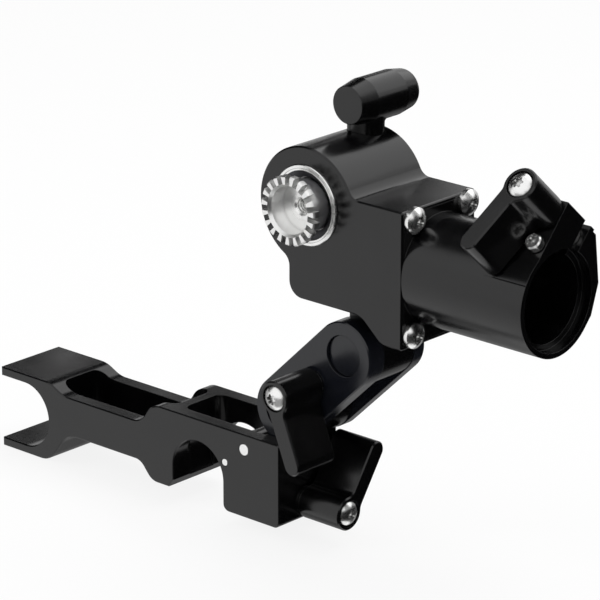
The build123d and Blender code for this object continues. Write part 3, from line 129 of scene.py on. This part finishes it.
def shaded(hex_colour, share):
    """That share of a hex colour's brightness, as linear RGBA."""
    return [v * share for v in linear(hex_colour)[:3]] + [1.0]


def add(tree, kind, inputs=None, **settings):
    """Add a node: settings are its properties, inputs its values or the sockets that feed it."""
    made = tree.nodes.new("ShaderNode" + kind)
    for key, value in settings.items():
        setattr(made, key, value)
    for key, value in (inputs or {}).items():
        if isinstance(value, bpy.types.NodeSocket):
            tree.links.new(value, made.inputs[key])
        else:
            made.inputs[key].default_value = value
    return made


def new_material(name):
    """A named material with an empty node tree and its output node."""
    material = bpy.data.materials.new(name)
    material.use_nodes = True
    material.node_tree.nodes.clear()
    return material, material.node_tree, material.node_tree.nodes.new("ShaderNodeOutputMaterial")


def finish_nodes(material, *names):
    """Give carried-over parts their finish."""
    for name in names:
        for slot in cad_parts[name].material_slots:
            slot.material = material


def centre_of(name):
    """The middle of a part's box."""
    low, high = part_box(name)
    return [(a + b) / 2 for a, b in zip(low, high)]


def new_mesh(name, points, faces, material):
    """A mesh object in the scene, from an array of points and one of four-cornered faces."""
    mesh = bpy.data.meshes.new(name)
    mesh.from_pydata(points.reshape(-1, 3).tolist(), [], faces.reshape(-1, 4).tolist())
    mesh.materials.append(material)
    made = bpy.data.objects.new(name, mesh)
    bpy.context.scene.collection.objects.link(made)
    return made


def closed_faces(rows, columns):
    """The faces of a grid of points that closes on itself both ways, turned outwards."""
    index = np.arange(rows * columns).reshape(rows, columns)
    along = np.roll(index, -1, axis=0)
    return np.stack([index, np.roll(index, -1, axis=1), np.roll(along, -1, axis=1), along], axis=-1)


def white_to_the_eye(tree):
    """A socket that is 1 for rays from the camera, in gloss and through glass, and 0 for others."""
    light = add(tree, "LightPath").outputs
    seen = add(tree, "Math", {0: light["Is Camera Ray"], 1: light["Is Glossy Ray"]}, operation="MAXIMUM")
    return add(tree, "Math", {0: seen.outputs["Value"], 1: light["Is Transmission Ray"]},
               operation="MAXIMUM").outputs["Value"]


# ---- sizes and colours a user would change ---------------------------------------------------
class AnodisedFinish(bpy.types.PropertyGroup):
    """Black and blue-black anodised aluminium."""
    black: bpy.props.StringProperty(
        name="Black", description="Dyed oxide on the milled parts, sRGB hex", default="#060607")
    blue_black: bpy.props.StringProperty(
        name="Blue-black", description="Dyed oxide on the link plates, sRGB hex", default="#14161C")
    worn: bpy.props.StringProperty(
        name="Worn edge", description="Oxide rubbed thin along the edges, sRGB hex", default="#2A2A2C")
    grain: bpy.props.FloatProperty(
        name="Blast grain", description="Size of the bead-blasted dimples", default=0.35 * MM,
        min=0.05 * MM, max=2 * MM, unit="LENGTH", precision=5)
    edge: bpy.props.FloatProperty(
        name="Edge", description="How far the broken edge reaches", default=0.18 * MM,
        min=0.0, max=1 * MM, unit="LENGTH", precision=5)
    roughness: bpy.props.FloatProperty(
        name="Roughness", description="Satin of the blasted oxide", default=0.19, min=0.0, max=1.0,
        subtype="FACTOR")


class SteelFinish(bpy.types.PropertyGroup):
    """Bright turned steel and blackened steel."""
    bright: bpy.props.StringProperty(
        name="Bright", description="Turned stainless steel, sRGB hex", default="#F4F4F3")
    blackened: bpy.props.StringProperty(
        name="Blackened", description="Black oxide on steel, sRGB hex", default="#5C5C5F")
    feed: bpy.props.FloatProperty(
        name="Tool feed", description="Spacing of the turning marks", default=0.22 * MM,
        min=0.02 * MM, max=2 * MM, unit="LENGTH", precision=5)
    roughness: bpy.props.FloatProperty(
        name="Roughness", description="Turned face", default=0.24, min=0.0, max=1.0, subtype="FACTOR")


class GearFinish(bpy.types.PropertyGroup):
    """Cut brass and sintered bronze."""
    brass: bpy.props.StringProperty(
        name="Brass", description="Cut gear brass, sRGB hex", default="#C9A04E")
    bronze: bpy.props.StringProperty(
        name="Bronze", description="Oil-soaked sintered bronze, sRGB hex", default="#8A5A33")


class ThreadSizes(bpy.types.PropertyGroup):
    """The thread in the output bore."""
    pitch: bpy.props.FloatProperty(
        name="Pitch", description="Distance from turn to turn", default=0.7 * MM, min=0.3 * MM,
        max=2 * MM, unit="LENGTH", precision=5)
    depth: bpy.props.FloatProperty(
        name="Depth", description="Height of the thread", default=0.3 * MM, min=0.05 * MM,
        max=0.6 * MM, unit="LENGTH", precision=5)
    radius: bpy.props.FloatProperty(
        name="Bore", description="Radius of the bore that holds the thread", default=1.645 * MM,
        min=1 * MM, max=3 * MM, unit="LENGTH", precision=5)


class StudioSettings(bpy.types.PropertyGroup):
    """Floor, lamps and cards of the studio."""
    floor: bpy.props.StringProperty(
        name="Floor", description="Pale paper floor, sRGB hex", default="#F4F4F4")
    top_power: bpy.props.FloatProperty(
        name="Top lamp", description="Power of the large lamp above", default=3.3, min=0.0,
        unit="POWER")
    front_power: bpy.props.FloatProperty(
        name="Front lamp", description="Power of the lamp at the front left", default=1.6, min=0.0,
        unit="POWER")
    floor_drop: bpy.props.FloatProperty(
        name="Floor drop", description="How far the floor lies below the unit", default=0.1 * MM,
        min=0.0, unit="LENGTH", precision=5)


# ---- materials -------------------------------------------------------------------------------
def anodised_aluminium(name, colour, finish, machined=None):
    """Bead-blasted, dyed aluminium oxide: nearly black, with a tight satin sheen over fine dimples.

    The dye gives almost no colour back, so the eye sees the room in the oxide. Rubbed edges are a
    little paler. A machined direction adds the faint lines that a cutter leaves under the blast.
    """
    material, tree, out = new_material(name)
    place = add(tree, "TexCoord").outputs["Object"]
    # dimples, drawn a little coarser than the 0.1 mm of real blasting so that they show
    dimples = add(tree, "TexNoise", {"Vector": place, "Scale": 1 / finish.grain, "Detail": 2.0})
    # handling haze, a few millimetres across
    haze = add(tree, "TexNoise", {"Vector": place, "Scale": 1 / (9 * MM), "Detail": 3.0})
    normal = add(tree, "NewGeometry").outputs["Normal"]
    rounded = add(tree, "Bevel", {"Radius": finish.edge}, samples=6)
    flat = add(tree, "VectorMath", {0: normal, 1: rounded.outputs["Normal"]}, operation="DOT_PRODUCT")
    wear = add(tree, "MapRange", {"Value": flat.outputs["Value"], "From Min": 0.985, "From Max": 0.86,
                                  "To Min": 0.0, "To Max": 0.55})
    rubbed = add(tree, "Math", {0: wear.outputs["Result"], 1: haze.outputs["Fac"]}, operation="MULTIPLY")
    dye = add(tree, "Mix", {"Factor": rubbed.outputs["Value"], "A": linear(colour),
                            "B": linear(finish.worn)}, data_type="RGBA")
    roughness = add(tree, "MapRange", {
        "Value": haze.outputs["Fac"], "From Min": 0.3, "From Max": 0.7,
        "To Min": finish.roughness - 0.03, "To Max": finish.roughness + 0.04})
    height = dimples.outputs["Fac"]
    if machined:
        lines = add(tree, "Mapping", {"Vector": place, "Scale": machined})
        cutter = add(tree, "TexNoise", {"Vector": lines.outputs["Vector"], "Scale": 1.0, "Detail": 1.0})
        both = add(tree, "Math", {0: dimples.outputs["Fac"], 1: cutter.outputs["Fac"]}, operation="ADD")
        height = both.outputs["Value"]
    bump = add(tree, "Bump", {"Height": height, "Strength": 0.12, "Distance": 0.02 * MM,
                              "Normal": rounded.outputs["Normal"]})
    shader = add(tree, "BsdfPrincipled", {
        "Base Color": dye.outputs["Result"], "Roughness": roughness.outputs["Result"], "Metallic": 0.0,
        "IOR": 1.5, "Normal": bump.outputs["Normal"]})
    tree.links.new(shader.outputs["BSDF"], out.inputs["Surface"])
    return material


def turned_steel(name, colour, finish, centre=None, turn=NO_TURN, roughness=None, painted_shade=0.85):
    """Turned stainless steel: a bright face with fine rings round the lathe's axis.

    The rings spread each highlight into a soft fan. Without a centre the face is ground, with a fine
    even grain instead. The axis is Y before the turn is taken off. Recesses and thread roots are
    darkened with painted shade, wherever a wall stands close.
    """
    material, tree, out = new_material(name)
    place = add(tree, "TexCoord").outputs["Object"]
    rough = finish.roughness if roughness is None else roughness
    # grain, drawn coarser than real grinding so that it shows, and smears where it is handled
    fine = add(tree, "TexNoise", {"Vector": place, "Scale": 1 / (0.3 * MM), "Detail": 2.0})
    smear = add(tree, "TexNoise", {"Vector": place, "Scale": 1 / (3 * MM), "Detail": 2.0})
    height = fine.outputs["Fac"]
    if centre:
        moved = add(tree, "Mapping", {"Vector": place, "Location": [-v for v in centre]})
        about = add(tree, "Mapping", {"Vector": moved.outputs["Vector"], "Rotation": [-v for v in turn]})
        # a ring wave of scale s repeats every pi / (10 s) metres, here once for each turn of the tool
        marks = add(tree, "TexWave", {
            "Vector": about.outputs["Vector"], "Scale": math.pi / (10 * finish.feed), "Distortion": 0.6,
            "Detail": 1.0}, wave_type="RINGS", rings_direction="Y")
        height = marks.outputs["Fac"]
    bump = add(tree, "Bump", {"Height": height, "Strength": 0.1, "Distance": 0.01 * MM})
    spread = add(tree, "MapRange", {"Value": smear.outputs["Fac"], "From Min": 0.3, "From Max": 0.7,
                                    "To Min": rough - 0.03, "To Max": rough + 0.05})
    # painted shade: the face is darkened where a wall stands closer than this distance
    near = add(tree, "AmbientOcclusion", {"Distance": 0.9 * MM}, samples=8)
    painted_shade_amount = add(tree, "MapRange", {"Value": near.outputs["AO"], "From Min": 0.45, "From Max": 0.92,
                                  "To Min": painted_shade, "To Max": 0.0})
    face = add(tree, "Mix", {"Factor": painted_shade_amount.outputs["Result"], "A": linear(colour),
                             "B": shaded(colour, PAINTED_SHADE_SHARE)}, data_type="RGBA")
    shader = add(tree, "BsdfPrincipled", {
        "Base Color": face.outputs["Result"], "Metallic": 1.0, "Roughness": spread.outputs["Result"],
        "Normal": bump.outputs["Normal"]})
    tree.links.new(shader.outputs["BSDF"], out.inputs["Surface"])
    return material


def gear_metal(name, colour, grain, roughness):
    """Copper alloy: cut brass shines on its flanks, sintered bronze is matt and pitted with oil pores."""
    material, tree, out = new_material(name)
    place = add(tree, "TexCoord").outputs["Object"]
    pores = add(tree, "TexNoise", {"Vector": place, "Scale": 1 / grain, "Detail": 3.0})
    # oil stains, a few millimetres across
    stain = add(tree, "TexNoise", {"Vector": place, "Scale": 1 / (4 * MM), "Detail": 2.0})
    amount = add(tree, "MapRange", {"Value": stain.outputs["Fac"], "From Min": 0.45, "From Max": 0.75,
                                    "To Min": 0.0, "To Max": 0.6})
    face = add(tree, "Mix", {"Factor": amount.outputs["Result"], "A": linear(colour),
                             "B": shaded(colour, STAIN_SHADE)}, data_type="RGBA")
    spread = add(tree, "MapRange", {"Value": pores.outputs["Fac"], "To Min": roughness - 0.05,
                                    "To Max": roughness + 0.1})
    bump = add(tree, "Bump", {"Height": pores.outputs["Fac"], "Strength": 0.2, "Distance": 0.02 * MM})
    shader = add(tree, "BsdfPrincipled", {
        "Base Color": face.outputs["Result"], "Metallic": 1.0, "Roughness": spread.outputs["Result"],
        "Normal": bump.outputs["Normal"]})
    tree.links.new(shader.outputs["BSDF"], out.inputs["Surface"])
    return material


# ---- pieces ----------------------------------------------------------------------------------
class FOLLOWFOCUS_OT_milled_parts(bpy.types.Operator):
    """Finish the bridge, housing, tube, levers, jaw, cover and T-handle in black anodising"""
    bl_idname = "followfocus.milled_parts"
    bl_label = "Finish the milled parts"

    def execute(self, context):
        finish = context.scene.ff_anodised
        black = anodised_aluminium("Black anodised aluminium, blasted", finish.black, finish)
        # vertical cutter lines, 0.5 mm apart, on the bridge's faces
        cut = anodised_aluminium("Black anodised aluminium, milled", finish.black, finish,
                                 machined=(1 / (0.5 * MM), 1 / (6 * MM), 1 / (12 * MM)))
        finish_nodes(black, "housing", "rear_cover", "clamp_tube", "t_handle", "rod_jaw", "rod_lever",
                     "link_lever", "tube_lever")
        finish_nodes(cut, "bridge")
        return {"FINISHED"}


class FOLLOWFOCUS_OT_link_plates(bpy.types.Operator):
    """Finish the link plates and their pins in blue-black"""
    bl_idname = "followfocus.link_plates"
    bl_label = "Finish the link"

    def execute(self, context):
        finish = context.scene.ff_anodised
        plate = anodised_aluminium("Blue-black anodised aluminium, blasted", finish.blue_black, finish)
        finish_nodes(plate, "link_front_plate", "link_rear_plate", "link_lower_pin", "link_upper_pin")
        return {"FINISHED"}


class FOLLOWFOCUS_OT_bright_parts(bpy.types.Operator):
    """Finish the screws, pins, ring, crown and shafts in turned steel"""
    bl_idname = "followfocus.bright_parts"
    bl_label = "Finish the bright parts"

    def execute(self, context):
        finish = context.scene.ff_steel
        axis = (OUTPUT_X, 0.0, OUTPUT_Z)
        # the last setting of each steel finish is how strongly painted shade darkens its recesses
        crown = turned_steel("Blasted stainless steel", finish.bright, finish, centre=axis,
                             roughness=0.32, painted_shade=0.15)
        finish_nodes(crown, "output_crown")
        output = turned_steel("Turned stainless steel, output", finish.bright, finish, centre=axis,
                              painted_shade=0.35)
        finish_nodes(output, "retaining_ring", "output_shaft")
        # each screw and pin has its own axis
        for name, turn in (("link_lever_screw", NO_TURN), ("jaw_pivot_pin", NO_TURN),
                           ("jaw_stop_pin", NO_TURN), ("rod_lever_screw", (0.0, 0.0, -math.pi / 2)),
                           ("tube_lever_screw", (-CLAMP_TILT, 0.0, 0.0)),
                           ("tube_stop_screw", (-CLAMP_TILT, 0.0, 0.0))):
            faced = turned_steel("Turned stainless steel, " + name, finish.bright, finish,
                                 centre=centre_of(name), turn=turn)
            finish_nodes(faced, name)
        ground = turned_steel("Ground stainless steel", finish.bright, finish)
        finish_nodes(ground, "tube_flange_screws", "rear_cover_screws", "rod_clamp_stud",
                     "link_clamp_stud", "tube_clamp_stud", "output_bearing", "input_bearing",
                     "input_shaft", "layshaft", "input_coupling", "t_handle_shaft", "rod_lever_washer",
                     "link_lever_washer", "tube_lever_washer")
        dark = turned_steel("Blackened steel", finish.blackened, finish, centre=axis, roughness=0.34,
                            painted_shade=0.2)
        finish_nodes(dark, "dust_shield")
        return {"FINISHED"}


class FOLLOWFOCUS_OT_gears(bpy.types.Operator):
    """Finish the gears in brass and the bushes in sintered bronze"""
    bl_idname = "followfocus.gears"
    bl_label = "Finish the gears"

    def execute(self, context):
        finish = context.scene.ff_gears
        brass = gear_metal("Cut gear brass", finish.brass, grain=0.25 * MM, roughness=0.24)
        bronze = gear_metal("Sintered bronze", finish.bronze, grain=0.12 * MM, roughness=0.45)
        finish_nodes(brass, "output_gear", "layshaft_gear", "layshaft_bevel", "input_bevel")
        finish_nodes(bronze, "output_rear_bush", "layshaft_front_bush", "layshaft_rear_bush",
                     "handle_bush", "brake_shoe")
        return {"FINISHED"}


def thread_points(sizes):
    """A threaded sleeve round the output axis, as a grid that closes on itself.

    The first parameter is the angle round the axis, the second runs along the bore on the inside
    and comes back on the outside. Inside, the radius is the bore less the wall and less a triangle
    wave of the distance along, shifted by one pitch for each turn, which is a helix. The wave fades
    out over half a pitch at both ends.
    """
    start = OUTPUT_BOX[0][1] + THREAD_START
    end = start + THREAD_LENGTH
    steps = int((end - start) / sizes.pitch * POINTS_PER_TURN)
    angle = np.linspace(0, 2 * np.pi, POINTS_ROUND, endpoint=False)[:, None]
    along = np.linspace(start, end, steps)[None, :]
    phase = (along - start) / sizes.pitch - angle / (2 * np.pi)
    wave = 1 - np.abs(2 * (phase - np.floor(phase)) - 1)
    fade = np.clip(np.minimum(along - start, end - along) / (sizes.pitch / 2), 0, 1)
    inner = sizes.radius - SLEEVE_WALL - sizes.depth * wave * fade
    radius = np.concatenate([inner, np.full((POINTS_ROUND, 2), sizes.radius)], axis=1)
    reach = np.concatenate([np.broadcast_to(along, inner.shape),
                            np.broadcast_to(np.array([[end, start]]), (POINTS_ROUND, 2))], axis=1)
    return np.stack([OUTPUT_X + radius * np.cos(angle), reach, OUTPUT_Z + radius * np.sin(angle)],
                    axis=-1)


class FOLLOWFOCUS_OT_drive_thread(bpy.types.Operator):
    """Cut the thread that the drive gear's screw goes into"""
    bl_idname = "followfocus.drive_thread"
    bl_label = "Add the drive thread"

    def execute(self, context):
        finish = context.scene.ff_steel
        # painted shade: the thread roots are darkened in full, so the turns show dark
        steel = turned_steel("Tapped stainless steel", finish.bright, finish, roughness=0.2, painted_shade=1.0)
        points = thread_points(context.scene.ff_thread)
        piece = new_mesh("drive_thread", points, closed_faces(*points.shape[:2]), steel)
        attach(piece, "output")
        return {"FINISHED"}


# ---- stage -----------------------------------------------------------------------------------
def paper_floor(colour):
    """Matt paper, seen as lit white by the eye and in gloss, which still takes the unit's shadow."""
    material, tree, out = new_material("White backdrop paper")
    part = add(tree, "Math", {0: white_to_the_eye(tree), 1: FLOOR_GLOW}, operation="MULTIPLY")
    fibres = add(tree, "TexNoise", {"Vector": add(tree, "TexCoord").outputs["Object"],
                                    "Scale": 1 / (1.5 * MM), "Detail": 2.0})
    bump = add(tree, "Bump", {"Height": fibres.outputs["Fac"], "Strength": 0.05, "Distance": 0.05 * MM})
    paper = add(tree, "BsdfDiffuse", {"Color": linear(colour), "Normal": bump.outputs["Normal"]})
    glow = add(tree, "Emission", {"Color": WHITE, "Strength": 1.0})
    mixed = add(tree, "MixShader", {0: part.outputs["Value"], 1: paper.outputs["BSDF"],
                                    2: glow.outputs["Emission"]})
    tree.links.new(mixed.outputs["Shader"], out.inputs["Surface"])
    return material


def studio_card(name, turns, rises, strength):
    """A curved card round the unit that is seen only in gloss, to shape the reflections.

    It is a patch of a sphere: the first parameter is the turn from straight in front, the second is
    the height above level, both in degrees.
    """
    material, tree, out = new_material(name)
    glow = add(tree, "Emission", {"Color": WHITE, "Strength": strength})
    tree.links.new(glow.outputs["Emission"], out.inputs["Surface"])
    turn = np.radians(np.linspace(*turns, CARD_POINTS))[:, None]
    rise = np.radians(np.linspace(*rises, CARD_POINTS))[None, :]
    ball = np.stack(np.broadcast_arrays(np.sin(turn) * np.cos(rise), -np.cos(turn) * np.cos(rise),
                                        np.sin(rise)), axis=-1)
    points = np.array(AIM) + CARD_RADIUS * ball
    corner = np.arange(CARD_POINTS ** 2).reshape(CARD_POINTS, CARD_POINTS)
    faces = np.stack([corner[:-1, :-1], corner[1:, :-1], corner[1:, 1:], corner[:-1, 1:]], axis=-1)
    card = new_mesh(name, points, faces, material)
    card.visible_camera = False
    card.visible_diffuse = False
    card.visible_transmission = False
    card.visible_shadow = False


def studio_lamp(name, place, size, power):
    """A soft square lamp aimed at the unit, which gives light and isn't seen in gloss."""
    data = bpy.data.lights.new(name, "AREA")
    data.energy = power
    data.size = size
    lamp = bpy.data.objects.new(name, data)
    aim = (Vector(place) - Vector(AIM)).to_track_quat("Z", "Y")
    lamp.matrix_world = Matrix.Translation(Vector(place)) @ aim.to_matrix().to_4x4()
    lamp.visible_glossy = False
    bpy.context.scene.collection.objects.link(lamp)


def studio_world():
    """A room that is white to the eye and in gloss, and gives a softer light."""
    world = bpy.data.worlds.new("studio")
    world.use_nodes = True
    tree = world.node_tree
    tree.nodes.clear()
    dim = add(tree, "Background", {"Color": WHITE, "Strength": ROOM_LIGHT})
    white = add(tree, "Background", {"Color": WHITE, "Strength": 1.0})
    mixed = add(tree, "MixShader", {0: white_to_the_eye(tree), 1: dim.outputs["Background"],
                                    2: white.outputs["Background"]})
    sky = tree.nodes.new("ShaderNodeOutputWorld")
    tree.links.new(mixed.outputs["Shader"], sky.inputs["Surface"])
    return world


def studio_camera():
    """The camera, which looks down on the unit from the front right."""
    back = Vector((math.sin(CAMERA_TURN) * math.cos(CAMERA_RISE),
                   -math.cos(CAMERA_TURN) * math.cos(CAMERA_RISE), math.sin(CAMERA_RISE)))
    data = bpy.data.cameras.new("camera")
    data.lens = CAMERA_LENS
    data.sensor_width = CAMERA_SENSOR
    data.clip_start = 10 * MM
    camera = bpy.data.objects.new("camera", data)
    camera.matrix_world = (Matrix.Translation(Vector(AIM) + back * CAMERA_DISTANCE)
                           @ back.to_track_quat("Z", "Y").to_matrix().to_4x4())
    bpy.context.scene.collection.objects.link(camera)
    return camera


class FOLLOWFOCUS_OT_studio(bpy.types.Operator):
    """Set up the floor, the light, the cards and the camera"""
    bl_idname = "followfocus.studio"
    bl_label = "Set up the studio"

    def execute(self, context):
        studio = context.scene.ff_studio
        low = CAD_BOUNDS[0][2] - studio.floor_drop
        corners = np.array([(-FLOOR_REACH, -FLOOR_REACH, low), (FLOOR_REACH, -FLOOR_REACH, low),
                            (FLOOR_REACH, FLOOR_REACH, low), (-FLOOR_REACH, FLOOR_REACH, low)])
        floor = new_mesh("floor", corners, np.arange(4), paper_floor(studio.floor))
        floor.visible_glossy = False
        for name, place, size, setting in LAMPS:
            studio_lamp(name, place, size, getattr(studio, setting))
        for card in CARDS:
            studio_card(*card)
        context.scene.world = studio_world()
        context.scene.camera = studio_camera()
        context.scene.view_settings.view_transform = "Standard"
        return {"FINISHED"}


# ---- panel and registration ------------------------------------------------------------------
OPERATORS = (
    FOLLOWFOCUS_OT_milled_parts,
    FOLLOWFOCUS_OT_link_plates,
    FOLLOWFOCUS_OT_bright_parts,
    FOLLOWFOCUS_OT_gears,
    FOLLOWFOCUS_OT_drive_thread,
    FOLLOWFOCUS_OT_studio,
)
GROUPS = (
    ("ff_anodised", AnodisedFinish),
    ("ff_steel", SteelFinish),
    ("ff_gears", GearFinish),
    ("ff_thread", ThreadSizes),
    ("ff_studio", StudioSettings),
)


class FOLLOWFOCUS_PT_panel(bpy.types.Panel):
    """Steps and settings of the follow focus unit"""
    bl_idname = "FOLLOWFOCUS_PT_panel"
    bl_label = "Follow Focus"
    bl_space_type = "VIEW_3D"
    bl_region_type = "UI"
    bl_category = "Follow Focus"

    def draw(self, context):
        for operator in OPERATORS:
            self.layout.operator(operator.bl_idname)
        for attribute, group in GROUPS:
            box = self.layout.box()
            box.label(text=group.__doc__)
            for key in group.__annotations__:
                box.prop(getattr(context.scene, attribute), key)


def register():
    """Register the settings, the operators and the panel."""
    for attribute, group in GROUPS:
        bpy.utils.register_class(group)
        setattr(bpy.types.Scene, attribute, bpy.props.PointerProperty(type=group))
    for cls in OPERATORS + (FOLLOWFOCUS_PT_panel,):
        bpy.utils.register_class(cls)


def unregister():
    """Take them all out again."""
    for cls in reversed(OPERATORS + (FOLLOWFOCUS_PT_panel,)):
        bpy.utils.unregister_class(cls)
    for attribute, group in reversed(GROUPS):
        delattr(bpy.types.Scene, attribute)
        bpy.utils.unregister_class(group)


def main():
    """Register and run every step in order."""
    register()
    bpy.ops.followfocus.milled_parts()
    bpy.ops.followfocus.link_plates()
    bpy.ops.followfocus.bright_parts()
    bpy.ops.followfocus.gears()
    bpy.ops.followfocus.drive_thread()
    bpy.ops.followfocus.studio()


if __name__ == "__main__":
    main()
